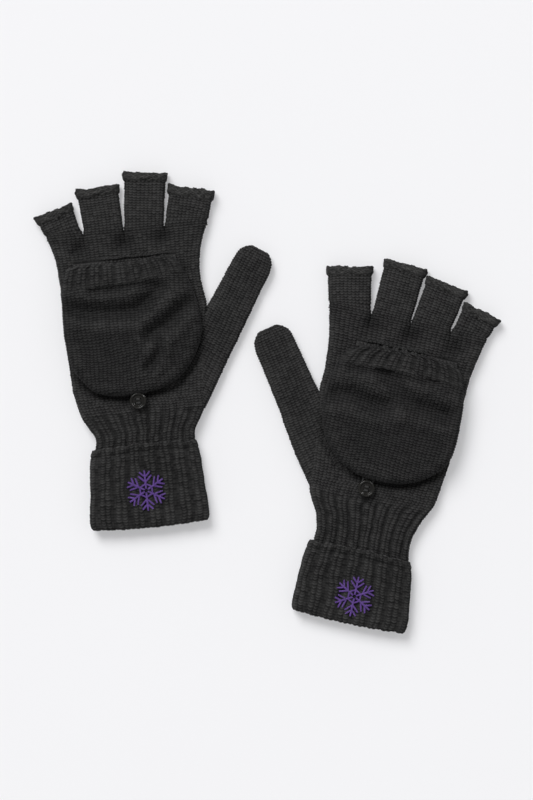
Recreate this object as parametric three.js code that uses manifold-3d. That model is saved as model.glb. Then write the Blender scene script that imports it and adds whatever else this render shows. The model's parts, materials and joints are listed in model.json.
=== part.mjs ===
// A pair of knitted convertible mittens lying flat on a table, backs of the hands up.
// Each mitten is a fingerless glove with a full thumb, a flip-over cap folded back over the
// hand and buttoned down, and a ribbed cuff that is turned up over itself.
//
// Millimetres. One mitten is drawn in its own frame: +X towards the thumb, +Y from the wrist
// to the fingertips, +Z up from the table. The right mitten is the mirror image of the left,
// with its own finger spread, and both are then laid side by side.
import * as THREE from 'three';
import { mergeVertices } from 'three/addons/utils/BufferGeometryUtils.js';
import Module from 'manifold-3d';

const wasm = await Module();
wasm.setup();

// ---- Driving dimensions -------------------------------------------------------------------

const GAP = 0.3;           // between pieces that touch
const REACH = 500;         // size of a block that only cuts

// The glove body: a flat knitted bag, open at the wrist and at every digit.
const HAND = { thick: 9.4, wall: 1.5, round: 3, start: 18, front: 133 };
const KNUCKLES = 138.5;    // height of the finger crotches above the wrist
const FINGER_AT = { little: -40, ring: -13.3, middle: 13.5, index: 41.9 };
const FINGER_HALF_WIDTH = {           // at the crotch and at the tip
  little: [11.8, 12.3], ring: [13.1, 13.7], middle: [13.1, 13.8], index: [14, 14.6],
};
const DIGIT = { low: 0.6, thick: 7.6, wall: 1.4, round: 2.8 };
const HEM = { length: 5, flare: 1.2, proud: 0.6, round: 1.6 };
const THUMB = { x: 57, y: 67.5, root: 14.2, tip: 12.9, length: 47.3, inward: 8 };
const THUMB_BASE = { x: 26.8, y: 30.3, radius: 20.5 };

// The wrist rib runs on down inside the cuff, and the cuff is the same tube turned up.
const WRIST = { low: 2.2, high: 9.2, wall: 1.2, round: 2.4 };
const CUFF = { top: -4.5, thick: 11.4, wall: 1.9, round: 3, fold: 4 };

// The cap: a flat pouch hinged along the seam across the back of the hand.
const CAP = {
  mouth: 117, tip: 31.5, bend: 66.5, halfWidth: 44.6, mouthHalfWidth: 41.6, x: -0.5,
  low: 9.8, thick: 8, wall: 1.3, round: 3, hem: 13, hemProud: 0.5, hemFrom: 12.8,
};
const SEAM = { y: 123, x: -0.8, length: 82, width: 1.8, low: 9.7, high: 10.6 };

// Fastening: a four-hole button on a thread shank, and an elastic loop from the cap's tip.
const BUTTON = { radius: 5.75, drop: 7, low: 11.4, thick: 3, recess: 1, hole: 0.85, holeAt: 1.3 };
const THREAD = { shank: 2.2, strand: 0.5, low: 9.7, clear: 0.3 };
const LOOP = { cord: 0.62, z: 10.4, halfWidth: 3.3, from: 1.4 };
const TACK = { width: 8.2, length: 1.4, low: 9.75, high: 11.05, under: 0.35 };

// Embroidered snowflake on the cuff.
const FLAKE = {
  x: -2.3, y: -35.5, radius: 13.6, low: 11.7, high: 12.7, bar: 2.2, twig: 5, twigAt: [5, 9.2],
};

// The two mittens: how far the hand sits from the wrist, where the cuff ends, how the fingers
// lean (degrees, positive towards the thumb) and reach, and where each lies on the table.
const SIDES = {
  left: {
    mirror: 1, hand: 0, cuffEnd: -58, buttonX: -1.6, thumbLean: 33, at: [-81.4, -24.8], turn: 5.8,
    lean: { little: -17.5, ring: -3, middle: 6.9, index: 14 },
    length: { little: 19, ring: 30.5, middle: 37.5, index: 24.5 },
  },
  right: {
    mirror: -1, hand: 12, cuffEnd: -52, buttonX: 5.5, thumbLean: 36, at: [64, -95.8], turn: -12.5,
    lean: { little: -15, ring: -9.2, middle: -2.8, index: 12.5 },
    length: { little: 19, ring: 31.5, middle: 38, index: 29 },
  },
};

// ---- Materials ----------------------------------------------------------------------------

const finish = (color, roughness, metalness = 0) =>
  new THREE.MeshStandardMaterial({ color, roughness, metalness });
const KNIT = finish(0x2b2c2e, 0.95);
const RIB = finish(0x28292b, 0.95);
const HEM_KNIT = finish(0x2f3032, 0.95);
const STITCH = finish(0x6d45a8, 0.7);
const GLOSS = finish(0x141516, 0.2);
const YARN = finish(0x1d1d1f, 0.9);

// ---- Solids -------------------------------------------------------------------------------

const degrees = THREE.MathUtils.degToRad;

// A closed geometry as a solid that can be joined and cut.
function solid(geometry) {
  const bare = geometry.clone();
  bare.deleteAttribute('normal');
  bare.deleteAttribute('uv');
  const merged = mergeVertices(bare, 1e-4);
  return new wasm.Manifold(new wasm.Mesh({
    numProp: 3,
    vertProperties: new Float32Array(merged.attributes.position.array),
    triVerts: new Uint32Array(merged.index.array),
  }));
}

function geometryOf(body) {
  const mesh = body.getMesh();
  const geometry = new THREE.BufferGeometry();
  geometry.setAttribute('position', new THREE.BufferAttribute(mesh.vertProperties, 3));
  geometry.setIndex(new THREE.BufferAttribute(mesh.triVerts, 1));
  geometry.computeVertexNormals();
  return geometry;
}

// An outline in plan made into a flat pad with rounded edges, drawn in by `inset` all round.
function pad(shape, { low, high, round, inset = 0 }) {
  return new THREE.ExtrudeGeometry(shape, {
    depth: high - low - 2 * round, curveSegments: 5, bevelEnabled: true, bevelSegments: 2,
    bevelThickness: round, bevelSize: round, bevelOffset: -round - inset,
  }).translate(0, 0, low + round);
}

function block(x0, x1, y0, y1, z0, z1) {
  return new THREE.BoxGeometry(x1 - x0, y1 - y0, z1 - z0)
    .translate((x0 + x1) / 2, (y0 + y1) / 2, (z0 + z1) / 2);
}

const above = (y) => solid(block(-REACH, REACH, y, REACH, -REACH, REACH));
const below = (y) => solid(block(-REACH, REACH, -REACH, y, -REACH, REACH));

// A smooth closed outline through a few points.
function smoothOutline(points, steps) {
  const loop = points.map(([x, y]) => new THREE.Vector3(x, y, 0));
  const curve = new THREE.CatmullRomCurve3(loop, true, 'centripetal');
  const spaced = curve.getSpacedPoints(steps).slice(0, -1);
  return new THREE.Shape(spaced.map((p) => new THREE.Vector2(p.x, p.y)));
}

// A digit in plan, along +Y from its pivot: a round root, straight sides, a flat or round tip.
function digitOutline(root, tip, length, roundTip) {
  const shape = new THREE.Shape();
  shape.absarc(0, 0, root, Math.PI, 2 * Math.PI, false);
  if (roundTip) shape.absarc(0, length, tip, 0, Math.PI, false);
  else shape.lineTo(tip, length).lineTo(-tip, length);
  return shape;
}

// The straight passage inside a digit, open past its root.
function passageOutline(root, tip, from, to) {
  return new THREE.Shape().moveTo(-root, from).lineTo(root, from).lineTo(tip, to).lineTo(-tip, to);
}

const place = (geometry, x, y, lean) => geometry.rotateZ(-degrees(lean)).translate(x, y, 0);

// ---- Glove body ---------------------------------------------------------------------------

function palmOutline(hand) {
  const edge = [
    [-38, 6], [-41.5, 22], [-45, 42], [-46.2, 70], [-46.2, 100], [-48.4, 122], [-51.2, 140],
    [0, 150], [56, 140], [51.6, 124], [48.6, 104], [47.6, 80], [46, 50], [43, 25], [38, 6],
  ];
  return smoothOutline(edge.map(([x, y]) => [x, y + hand]), 34);
}

// The muscle of the thumb: a tapering pad from the heel of the hand to the thumb's pivot.
function thumbBase(side, { low, high, round, inset }) {
  const dx = THUMB.x - THUMB_BASE.x;
  const dy = THUMB.y - THUMB_BASE.y;
  const outline = digitOutline(THUMB_BASE.radius, THUMB.root, Math.hypot(dx, dy), true);
  const lean = THREE.MathUtils.radToDeg(Math.atan2(dx, dy));
  const body = pad(outline, { low, high, round, inset });
  return place(body, THUMB_BASE.x, THUMB_BASE.y + side.hand, lean);
}

// Room that the thumb needs, at rest and swung in to the hand.
function thumbRoom(side, swing) {
  const outline = digitOutline(THUMB.root, THUMB.tip, THUMB.length, true);
  const room = pad(outline, { low: -5, high: HAND.thick + 5, round: 1, inset: -GAP });
  return solid(place(room, THUMB.x, THUMB.y + side.hand, side.thumbLean - swing));
}

function handShell(side) {
  const outer = { low: 0, high: HAND.thick, round: HAND.round, inset: 0 };
  const inner = { low: HAND.wall, high: HAND.thick - HAND.wall, round: 2, inset: HAND.wall };
  const palm = palmOutline(side.hand);
  let body = solid(pad(palm, outer)).add(solid(thumbBase(side, outer)));
  body = body.subtract(solid(pad(palm, inner)).add(solid(thumbBase(side, inner))));
  body = body.subtract(above(HAND.front + side.hand)).subtract(below(HAND.start + side.hand));
  for (const [name, x] of Object.entries(FINGER_AT)) {
    const socket = new THREE.CylinderGeometry(1, 1, 30, 24).rotateX(Math.PI / 2);
    const radius = FINGER_HALF_WIDTH[name][0] + GAP;
    socket.scale(radius, radius, 1).translate(x, KNUCKLES + side.hand, 0);
    body = body.subtract(solid(socket));
  }
  for (const swing of [0, THUMB.inward / 2, THUMB.inward]) {
    body = body.subtract(thumbRoom(side, swing));
  }
  // The outer edge stops short of the thumb's side instead of thinning to nothing along it.
  const edge = block(2, 40, -9, 60, -5, HAND.thick + 5);
  body = body.subtract(solid(place(edge, THUMB.x, THUMB.y + side.hand, side.thumbLean)));
  return geometryOf(body);
}

// ---- Digits -------------------------------------------------------------------------------

function fingerTube(root, tip, length) {
  const top = DIGIT.low + DIGIT.thick;
  const outline = digitOutline(root, tip, length, false);
  const passage = passageOutline(root - DIGIT.wall, tip - DIGIT.wall, -root - 2, length + 4);
  const body = solid(pad(outline, { low: DIGIT.low, high: top, round: DIGIT.round, inset: 0 }));
  const hollow = pad(passage, { low: DIGIT.low + DIGIT.wall, high: top - DIGIT.wall, round: 1.8 });
  // The pad's rounded far end is cut off square where the hem begins.
  return geometryOf(body.subtract(solid(hollow)).subtract(above(length - DIGIT.round)));
}

function thumbTube() {
  const top = DIGIT.low + DIGIT.thick;
  const { root, tip, length } = THUMB;
  const outline = digitOutline(root, tip, length, true);
  const inside = { low: DIGIT.low + DIGIT.wall, high: top - DIGIT.wall, round: 1.8 };
  const hollow = pad(digitOutline(root, tip, length, true), { ...inside, inset: DIGIT.wall });
  const width = root - DIGIT.wall;
  const mouth = pad(passageOutline(width, width, -root - 2, 4), inside);
  const body = solid(pad(outline, { low: DIGIT.low, high: top, round: DIGIT.round }));
  return geometryOf(body.subtract(solid(hollow)).subtract(solid(mouth)));
}

// A rolled hem: a short, slightly wider ring round the open end of a finger.
function fingerHem(tip) {
  const half = tip + HEM.flare;
  const high = DIGIT.thick / 2 + HEM.proud;
  const ring = new THREE.Shape();
  const corner = high * 0.75;
  ring.moveTo(-half + corner, -high).lineTo(half - corner, -high).lineTo(half, -high + corner);
  ring.lineTo(half, high - corner).lineTo(half - corner, high).lineTo(-half + corner, high);
  ring.lineTo(-half, high - corner).lineTo(-half, -high + corner);
  const inside = tip - DIGIT.wall;
  const gap = DIGIT.thick / 2 - DIGIT.wall;
  const hole = new THREE.Path().moveTo(-inside, -gap + 1).lineTo(-inside, gap - 1);
  hole.lineTo(-inside + 1, gap).lineTo(inside - 1, gap).lineTo(inside, gap - 1);
  hole.lineTo(inside, -gap + 1).lineTo(inside - 1, -gap).lineTo(-inside + 1, -gap);
  ring.holes.push(hole);
  const roll = 0.7;
  return new THREE.ExtrudeGeometry(ring, {
    depth: HEM.length - 2 * roll, curveSegments: 4, bevelEnabled: true, bevelSegments: 2,
    bevelThickness: roll, bevelSize: roll, bevelOffset: -roll,
  }).rotateX(Math.PI / 2).translate(0, HEM.length - roll, DIGIT.low + DIGIT.thick / 2);
}

// ---- Wrist and cuff -----------------------------------------------------------------------

// Half width and middle of the wrist tube at a height y.
function wristOutline(side, grow) {
  const end = side.cuffEnd;
  const { hand } = side;
  const neck = 1 + hand * 0.7;
  const points = [
    [36.2, end - 6], [35.2, end * 0.6], [32.6, -6], [32.8, neck], [37, 10 + hand],
    [43.2, 20 + hand], [42, 26 + hand], [-40, 26 + hand], [-41, 20 + hand],
    [-36.5, 10 + hand], [-32.6, neck], [-33.6, -6], [-37.4, end * 0.6], [-39.4, end - 6],
  ];
  return new THREE.Shape(points.map(([x, y]) => new THREE.Vector2(x + Math.sign(x) * grow, y)));
}

function wristTube(side, { low, high, round, inset }, from, to) {
  const tube = solid(pad(wristOutline(side, 0), { low, high, round, inset }));
  return tube.subtract(above(to)).subtract(below(from));
}

function wristRib(side) {
  const outer = { low: WRIST.low, high: WRIST.high, round: WRIST.round, inset: 0 };
  const inner = {
    low: WRIST.low + WRIST.wall, high: WRIST.high - WRIST.wall, round: 1.6, inset: WRIST.wall,
  };
  const from = side.cuffEnd + CUFF.fold;
  const to = HAND.start + side.hand - GAP;
  return geometryOf(wristTube(side, outer, from, to).subtract(wristTube(side, inner, from - 1, to + 1)));
}

function cuffOutline(side) {
  const end = side.cuffEnd;
  const shape = new THREE.Shape();
  shape.moveTo(-35, CUFF.top + 5).lineTo(-36.6, CUFF.top - 4).lineTo(-39.4, end * 0.55);
  shape.lineTo(-41.6, end + 3).lineTo(-39.8, end).lineTo(36, end).lineTo(38.2, end + 3);
  shape.lineTo(36.8, end * 0.55).lineTo(35, CUFF.top - 4).lineTo(34.4, CUFF.top + 5);
  return shape;
}

function cuffTurn(side) {
  const fold = side.cuffEnd + CUFF.fold - GAP;
  const sleeve = solid(pad(cuffOutline(side), { low: 0, high: CUFF.thick, round: CUFF.round }));
  const around = {
    low: WRIST.low - GAP, high: WRIST.high + GAP, round: WRIST.round, inset: -GAP,
  };
  const through = {
    low: WRIST.low + WRIST.wall, high: WRIST.high - WRIST.wall, round: 1.6, inset: WRIST.wall,
  };
  const room = wristTube(side, around, fold, CUFF.top + 4);
  const mouth = wristTube(side, through, side.cuffEnd - 4, fold + 1);
  return geometryOf(sleeve.subtract(above(CUFF.top)).subtract(room).subtract(mouth));
}

// ---- Cap ----------------------------------------------------------------------------------

function capOutline(hand) {
  const { x, halfWidth, mouthHalfWidth, bend, tip, mouth } = CAP;
  const shoulder = (mouth + bend) / 2 + 4;
  const shape = new THREE.Shape();
  shape.moveTo(x + mouthHalfWidth, mouth + 8 + hand).lineTo(x - mouthHalfWidth, mouth + 8 + hand);
  shape.lineTo(x - mouthHalfWidth - 0.8, mouth - 6 + hand).lineTo(x - halfWidth, shoulder + hand);
  shape.absellipse(x, bend + hand, halfWidth, bend - tip, Math.PI, 2 * Math.PI, false);
  shape.lineTo(x + halfWidth, shoulder + hand).lineTo(x + mouthHalfWidth + 0.8, mouth - 6 + hand);
  return shape;
}

function capHollow(side) {
  const { low, thick, wall } = CAP;
  return solid(pad(capOutline(side.hand), {
    low: low + wall, high: low + thick - wall, round: 2, inset: wall,
  }));
}

function capPouch(side) {
  const { low, thick, round, mouth, hem, hemFrom } = CAP;
  const body = solid(pad(capOutline(side.hand), { low, high: low + thick, round }));
  const edge = mouth + side.hand;
  const hemRoom = solid(block(-REACH, REACH, edge - hem, REACH, hemFrom - GAP, REACH));
  return geometryOf(body.subtract(capHollow(side)).subtract(above(edge)).subtract(hemRoom));
}

function capHem(side) {
  const { low, thick, round, mouth, hem, hemFrom, hemProud } = CAP;
  const band = pad(capOutline(side.hand), {
    low: low - hemProud, high: low + thick + hemProud, round, inset: -hemProud,
  });
  const edge = mouth + side.hand;
  const kept = solid(block(-REACH, REACH, edge - hem + GAP, edge, hemFrom, REACH));
  return geometryOf(solid(band).intersect(kept).subtract(capHollow(side)));
}

// The linked seam that holds the cap: a low ridge of stitches across the back of the hand.
function capSeam() {
  const half = SEAM.width / 2;
  const ridge = new THREE.Shape().moveTo(-half, SEAM.low).lineTo(half, SEAM.low);
  ridge.lineTo(half, SEAM.low + 0.4).lineTo(half * 0.4, SEAM.high).lineTo(-half * 0.4, SEAM.high);
  ridge.lineTo(-half, SEAM.low + 0.4);
  const bar = new THREE.ExtrudeGeometry(ridge, { depth: SEAM.length, bevelEnabled: false });
  return bar.rotateX(Math.PI / 2).rotateZ(Math.PI / 2).translate(-SEAM.length / 2, 0, 0);
}

// ---- Button, thread and loop --------------------------------------------------------------

const HOLES = [[-1, -1], [1, -1], [1, 1], [-1, 1]]
  .map(([x, y]) => [x * BUTTON.holeAt, y * BUTTON.holeAt]);

function buttonDisc() {
  const { radius, low, thick, recess } = BUTTON;
  const profile = [
    [0, 0], [radius - 1, 0], [radius, 0.9], [radius, thick - 0.8], [radius - 0.6, thick],
    [radius - 1.4, thick], [radius - 2.1, thick - recess], [0, thick - recess],
  ].map(([r, z]) => new THREE.Vector2(r, z));
  let body = solid(new THREE.LatheGeometry(profile, 24).rotateX(Math.PI / 2));
  for (const [x, y] of HOLES) {
    const hole = new THREE.CylinderGeometry(BUTTON.hole, BUTTON.hole, 20, 8).rotateX(Math.PI / 2);
    body = body.subtract(solid(hole.translate(x, y, 0)));
  }
  return geometryOf(body).translate(0, 0, low);
}

// Shank under the button, four strands up through its holes and two bars across the top.
function buttonThread() {
  const { low, clear, strand, shank } = THREAD;
  const face = BUTTON.low + BUTTON.thick - BUTTON.recess;
  const top = face + clear + 2 * strand;
  const neck = new THREE.CylinderGeometry(shank, shank, BUTTON.low - clear - low, 12);
  let body = solid(neck.rotateX(Math.PI / 2).translate(0, 0, (low + BUTTON.low - clear) / 2));
  for (const [x, y] of HOLES) {
    const post = new THREE.CylinderGeometry(strand, strand, top - low - 0.4, 6).rotateX(Math.PI / 2);
    body = body.add(solid(post.translate(x, y, (low + 0.2 + top) / 2)));
  }
  for (const y of [-BUTTON.holeAt, BUTTON.holeAt]) {
    const reach = BUTTON.holeAt + strand;
    body = body.add(solid(block(-reach, reach, y - strand, y + strand, face + clear, top)));
  }
  return geometryOf(body);
}

// Elastic cord from the tip of the cap, round the shank under the button.
function loopCord() {
  const { cord, halfWidth, from } = LOOP;
  const leg = BUTTON.drop - from;
  const path = new THREE.CurvePath();
  const at = (x, y) => new THREE.Vector3(x, y, 0);
  path.add(new THREE.LineCurve3(at(-halfWidth, leg), at(-halfWidth, 0)));
  const bow = 0.5523 * halfWidth;
  path.add(new THREE.CubicBezierCurve3(
    at(-halfWidth, 0), at(-halfWidth, -bow), at(-bow, -halfWidth), at(0, -halfWidth)));
  path.add(new THREE.CubicBezierCurve3(
    at(0, -halfWidth), at(bow, -halfWidth), at(halfWidth, -bow), at(halfWidth, 0)));
  path.add(new THREE.LineCurve3(at(halfWidth, 0), at(halfWidth, leg)));
  const section = new THREE.Shape().absarc(0, 0, cord, 0, 2 * Math.PI, false);
  return new THREE.ExtrudeGeometry(section, {
    steps: 18, curveSegments: 4, bevelEnabled: false, extrudePath: path,
  }).translate(0, 0, LOOP.z);
}

// ---- Emblem -------------------------------------------------------------------------------

// Six equal arms with paired twigs: a plain snowflake.
function snowflake() {
  const { radius, low, high, bar, twig, twigAt } = FLAKE;
  let body = null;
  const join = (geometry) => { body = body ? body.add(solid(geometry)) : solid(geometry); };
  for (let arm = 0; arm < 6; arm += 1) {
    const turn = (arm * Math.PI) / 3;
    join(block(-bar / 2, bar / 2, -bar / 3, radius, low, high).rotateZ(turn));
    for (const from of twigAt) {
      for (const way of [-1, 1]) {
        const reach = twig * (1.5 - from / radius);
        const twiglet = block(-bar * 0.4, bar * 0.4, 0, reach, low, high);
        join(twiglet.rotateZ(way * Math.PI / 4).translate(0, from, 0).rotateZ(turn));
      }
    }
  }
  return geometryOf(body);
}

// ---- One mitten ---------------------------------------------------------------------------

function makeMitten(name, side) {
  const mitten = new THREE.Group();
  const put = (part, geometry, material, x = 0, y = 0, lean = 0) => {
    const mesh = new THREE.Mesh(geometry, material);
    mesh.name = `${name}_${part}`;
    mesh.position.set(x, y, 0);
    mesh.rotation.z = -degrees(lean);
    mitten.add(mesh);
  };

  put('hand_shell', handShell(side), KNIT);
  put('wrist_rib', wristRib(side), RIB);
  put('cuff_turn', cuffTurn(side), RIB);
  put('emblem', snowflake(), STITCH, FLAKE.x, FLAKE.y);

  for (const [finger, x] of Object.entries(FINGER_AT)) {
    const [root, tip] = FINGER_HALF_WIDTH[finger];
    const lean = side.lean[finger];
    const tube = side.length[finger] - HEM.length - GAP + DIGIT.round;
    const y = KNUCKLES + side.hand;
    put(`${finger}_tube`, fingerTube(root, tip, tube), KNIT, x, y, lean);
    const out = side.length[finger] - HEM.length;
    const along = degrees(lean);
    const endX = x + out * Math.sin(along);
    const endY = y + out * Math.cos(along);
    put(`${finger}_hem`, fingerHem(tip), HEM_KNIT, endX, endY, lean);
  }
  put('thumb_tube', thumbTube(), KNIT, THUMB.x, THUMB.y + side.hand, side.thumbLean);

  put('cap_pouch', capPouch(side), KNIT);
  put('cap_hem', capHem(side), RIB);
  put('cap_seam', capSeam(), HEM_KNIT, SEAM.x, SEAM.y + side.hand);

  const tip = CAP.tip + side.hand;
  const buttonY = tip - BUTTON.drop;
  put('button', buttonDisc(), GLOSS, side.buttonX, buttonY);
  put('button_thread', buttonThread(), YARN, side.buttonX, buttonY);
  put('loop', loopCord(), YARN, side.buttonX, buttonY);
  const { width, length, low, high, under } = TACK;
  const tack = block(-width / 2, width / 2, under - length, under, low, high);
  put('loop_tack', tack, YARN, side.buttonX, tip);

  mitten.scale.x = side.mirror;
  mitten.position.set(side.at[0], side.at[1], 0);
  mitten.rotation.z = degrees(side.turn);
  return mitten;
}

const pair = new THREE.Group();
for (const [name, side] of Object.entries(SIDES)) pair.add(makeMitten(name, side));

// The origin is the middle of the pair, on the table.
pair.updateMatrixWorld(true);
const extent = new THREE.Box3().setFromObject(pair, true);
const centre = extent.getCenter(new THREE.Vector3());
pair.position.set(-centre.x, -centre.y, -extent.min.z);

export default pair;
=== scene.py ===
"""A pair of charcoal convertible mittens, knitted stitch by stitch, on a pale table.

Each mitten is drawn in its own frame in millimetres (+x to the thumb, +y to the fingertips)
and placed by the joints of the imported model.  A knitted surface is a grid whose columns and
rows are locked to its stitches, with COLS columns to a wale and ROWS rows to a stitch.
"""
import json
import math

import bpy
import numpy as np
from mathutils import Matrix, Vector


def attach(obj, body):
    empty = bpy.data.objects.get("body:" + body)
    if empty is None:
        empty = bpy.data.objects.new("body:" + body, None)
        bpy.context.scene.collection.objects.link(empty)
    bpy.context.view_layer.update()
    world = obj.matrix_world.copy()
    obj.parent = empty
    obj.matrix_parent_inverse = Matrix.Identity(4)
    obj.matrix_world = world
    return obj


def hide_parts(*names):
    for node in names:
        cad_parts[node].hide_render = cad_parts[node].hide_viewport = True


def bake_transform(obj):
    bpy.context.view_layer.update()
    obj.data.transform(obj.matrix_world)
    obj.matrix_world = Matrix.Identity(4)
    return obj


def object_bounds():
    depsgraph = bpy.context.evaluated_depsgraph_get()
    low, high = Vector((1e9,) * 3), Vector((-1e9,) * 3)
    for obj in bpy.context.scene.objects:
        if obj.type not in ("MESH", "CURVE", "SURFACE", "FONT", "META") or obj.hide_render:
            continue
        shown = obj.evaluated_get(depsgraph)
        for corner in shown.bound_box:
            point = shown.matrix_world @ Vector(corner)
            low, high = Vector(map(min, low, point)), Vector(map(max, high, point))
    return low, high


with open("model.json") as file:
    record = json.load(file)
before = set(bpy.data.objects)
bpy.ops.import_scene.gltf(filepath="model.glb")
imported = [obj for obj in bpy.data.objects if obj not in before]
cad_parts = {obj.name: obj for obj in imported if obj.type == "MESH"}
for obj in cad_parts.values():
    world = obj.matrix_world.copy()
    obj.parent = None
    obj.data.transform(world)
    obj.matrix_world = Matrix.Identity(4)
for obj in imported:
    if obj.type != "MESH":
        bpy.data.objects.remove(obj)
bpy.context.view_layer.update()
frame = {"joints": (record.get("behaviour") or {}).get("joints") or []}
JOINTS = {j["name"]: j for j in frame["joints"]}

# ---- Dimensions, millimetres ----

COLS, ROWS = 4, 3               # grid columns to a wale and grid rows to a stitch
GAUGE = 1.75                    # height of a stitch
ROW = GAUGE / ROWS
SLANT = 0.4                     # how far the legs of a stitch climb, in rows
STITCH = 0.7                    # depth of the stitches in the plain knit
RIB = 0.95                      # depth of a rib
PALM = (9, 9, 9, 9)             # wales below each finger, across one face of the hand
CUFF_WALES, BAND_WALE = 32, 2.3
WALES = {"little": 11, "ring": 12, "middle": 12, "index": 13, "thumb": 12}
KNUCKLES = 138.5
FINGERS = {                     # middle, half width at the root and at the tip
    "little": (-40.0, 11.8, 12.3), "ring": (-13.3, 13.1, 13.7),
    "middle": (13.5, 13.1, 13.8), "index": (41.9, 14.0, 14.6),
}
CROTCHES = (-27.3, 0.1, 27.3)   # x of the gaps between the fingers
MID = 4.4                       # height of the middle of the hand
SIDES = {                       # "hand" is how much longer the wrist is than the left one's
    "left": {
        "mirror": 1, "hand": 0, "cuff_end": -58, "button": -1.6, "thumb_lean": 33,
        "thumb_wide": 0, "thumb_shift": 0.0, "ear": 0.75, "thick_hem": {"index": 1.1},
        "lean": {"little": -17.5, "ring": -3, "middle": 6.9, "index": 14},
        "length": {"little": 19, "ring": 30.5, "middle": 37.5, "index": 24.5},
    },
    "right": {
        "mirror": -1, "hand": 12, "cuff_end": -52, "button": 5.5, "thumb_lean": 36,
        "thumb_wide": 1, "thumb_shift": 1.2, "ear": 0.1, "thick_hem": {},
        "lean": {"little": -15, "ring": -9.2, "middle": -2.8, "index": 12.5},
        "length": {"little": 19, "ring": 31.5, "middle": 38, "index": 29},
    },
}


# ---- Curves and grids ----

def smooth(t):
    t = np.clip(t, 0, 1)
    return t * t * (3 - 2 * t)


def ramp(x, a, b):
    """0 before a, 1 after b, smooth between; a may be the larger."""
    return smooth((np.asarray(x, float) - a) / (b - a))


def bell(x, middle, width):
    """1 at the middle, falling off evenly on both sides."""
    return np.exp(-(((x - middle) / width) ** 2))


def rounded(inward, radius):
    """Height of a rounded edge, 0 to 1, at a distance inward from it."""
    return np.sqrt(np.clip(1 - (1 - np.clip(inward / radius, 0, 1)) ** 2, 0, 1))


def heading(angle):
    """Unit vectors in plan: +y turned towards +x by the angle, and the one to its right."""
    s, c = math.sin(angle), math.cos(angle)
    return np.array([s, c]), np.array([c, -s])


def lengths(line):
    """Lengths of the steps of a polyline."""
    return np.linalg.norm(np.diff(line, axis=0), axis=1)


def curve(x, points):
    """A smooth curve y(x) through points whose x rises."""
    px, py = np.array(points, float).T
    slope = np.gradient(py, px)
    x = np.clip(x, px[0], px[-1])
    k = np.clip(np.searchsorted(px, x) - 1, 0, len(px) - 2)
    h = px[k + 1] - px[k]
    t = (x - px[k]) / h
    return (py[k] * (2 * t**3 - 3 * t**2 + 1) + slope[k] * h * (t**3 - 2 * t**2 + t)
            + py[k + 1] * (3 * t**2 - 2 * t**3) + slope[k + 1] * h * (t**3 - t**2))


def spread(line, count, keep_last=False, weights=None):
    """`count` steps along a polyline, equal or by weight; its last point only on request."""
    along = np.concatenate([[0], np.cumsum(lengths(line))])
    at = np.linspace(0, 1, count + 1)
    if weights is not None:
        at = np.concatenate([[0], np.cumsum(weights)]) / np.sum(weights)
    at = at * along[-1]
    if not keep_last:
        at = at[:-1]
    return np.stack([np.interp(at, along, c) for c in line.T], 1)


def waves(x, y, size, seed):
    """Soft lumps of about -1 to 1 with a wavelength of `size`."""
    r = np.random.default_rng(seed)
    total, norm = 0, 0
    for octave in range(3):
        for _ in range(4):
            angle, phase = r.uniform(0, 2 * np.pi, 2)
            k = 2 * np.pi * 2**octave / size * r.uniform(0.7, 1.3)
            total = total + np.sin(k * (x * np.cos(angle) + y * np.sin(angle)) + phase) / 2**octave
        norm += 2 / 2**octave
    return total / norm


def lumps(x, y, size, seed):
    """Waves brought between 0 and 1."""
    return waves(x, y, size, seed) * 0.5 + 0.5


def normals_of(P, closed):
    """Unit normals of a grid of points; columns may close on themselves."""
    du = np.roll(P, -1, 1) - np.roll(P, 1, 1)
    if not closed:
        du[:, 0], du[:, -1] = P[:, 1] - P[:, 0], P[:, -1] - P[:, -2]
    dv = np.gradient(P, axis=0)
    n = np.cross(du, dv)
    return n / np.maximum(np.linalg.norm(n, axis=2, keepdims=True), 1e-9)


def puffed(P, relief):
    """A closed grid moved out along its normals."""
    return P + normals_of(P, True) * relief[..., None]


# ---- Stitches ----

def plain_stitch(u, v):
    """Height of plain knit, 0 to 1: two slanting legs to a wale, tucked under at each row."""
    across = np.abs((u + 1e-6) % 1 - 0.5) * 2
    leg = 0.5 + 0.5 * np.cos(2 * np.pi * (v - SLANT * across))
    return (0.2 + 0.8 * leg) * np.cos(across * np.pi / 2) ** 0.5


def purl_stitch(u, v):
    """Height of the back of the knit: a short bar across the wale at each row."""
    across = np.abs(u % 1 - 0.5) * 2
    return (0.5 + 0.5 * np.cos(2 * np.pi * v)) * (1 - 0.35 * across ** 2)


def stitch_axes(rows, cols):
    return np.meshgrid(np.arange(cols) / COLS, np.arange(rows) / ROWS)


def knit_relief(rows, cols, seed):
    """Plain knit about a mean of zero; each stitch sits a little higher or lower than the next."""
    u, v = stitch_axes(rows, cols)
    return plain_stitch(u, v) - 0.45 + uneven(rows, cols, seed, 0.16)


def rib_profile(u):
    """Two wales up and two wales down, -0.5 to 0.5, with a soft furrow between the raised two."""
    phase = (u % 4) / 4 * 2 * np.pi
    wave = 0.5 * np.tanh(1.3 * np.sin(phase)) / math.tanh(1.3)
    return wave - 0.3 * bell(u % 4, 1, 0.22)


def rib_stitches(u, v):
    return np.where(u % 4 < 2, plain_stitch(u, v), purl_stitch(u, v) * 0.4) - 0.3


def rib_relief(rows, cols, seed):
    u, v = stitch_axes(rows, cols)
    rough = rib_stitches(u, v) + uneven(rows, cols, seed, 0.12)
    return rib_profile(u) * RIB + rough * STITCH * 0.7


def rib_weights(count, strength):
    """Widths of the columns in ribbed knit: raised wales are wide, sunken wales are narrow."""
    u = (np.arange(count) + 0.5) / COLS
    return 1 + strength * np.where(u % 4 < 2, 0.5, -0.5)


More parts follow.
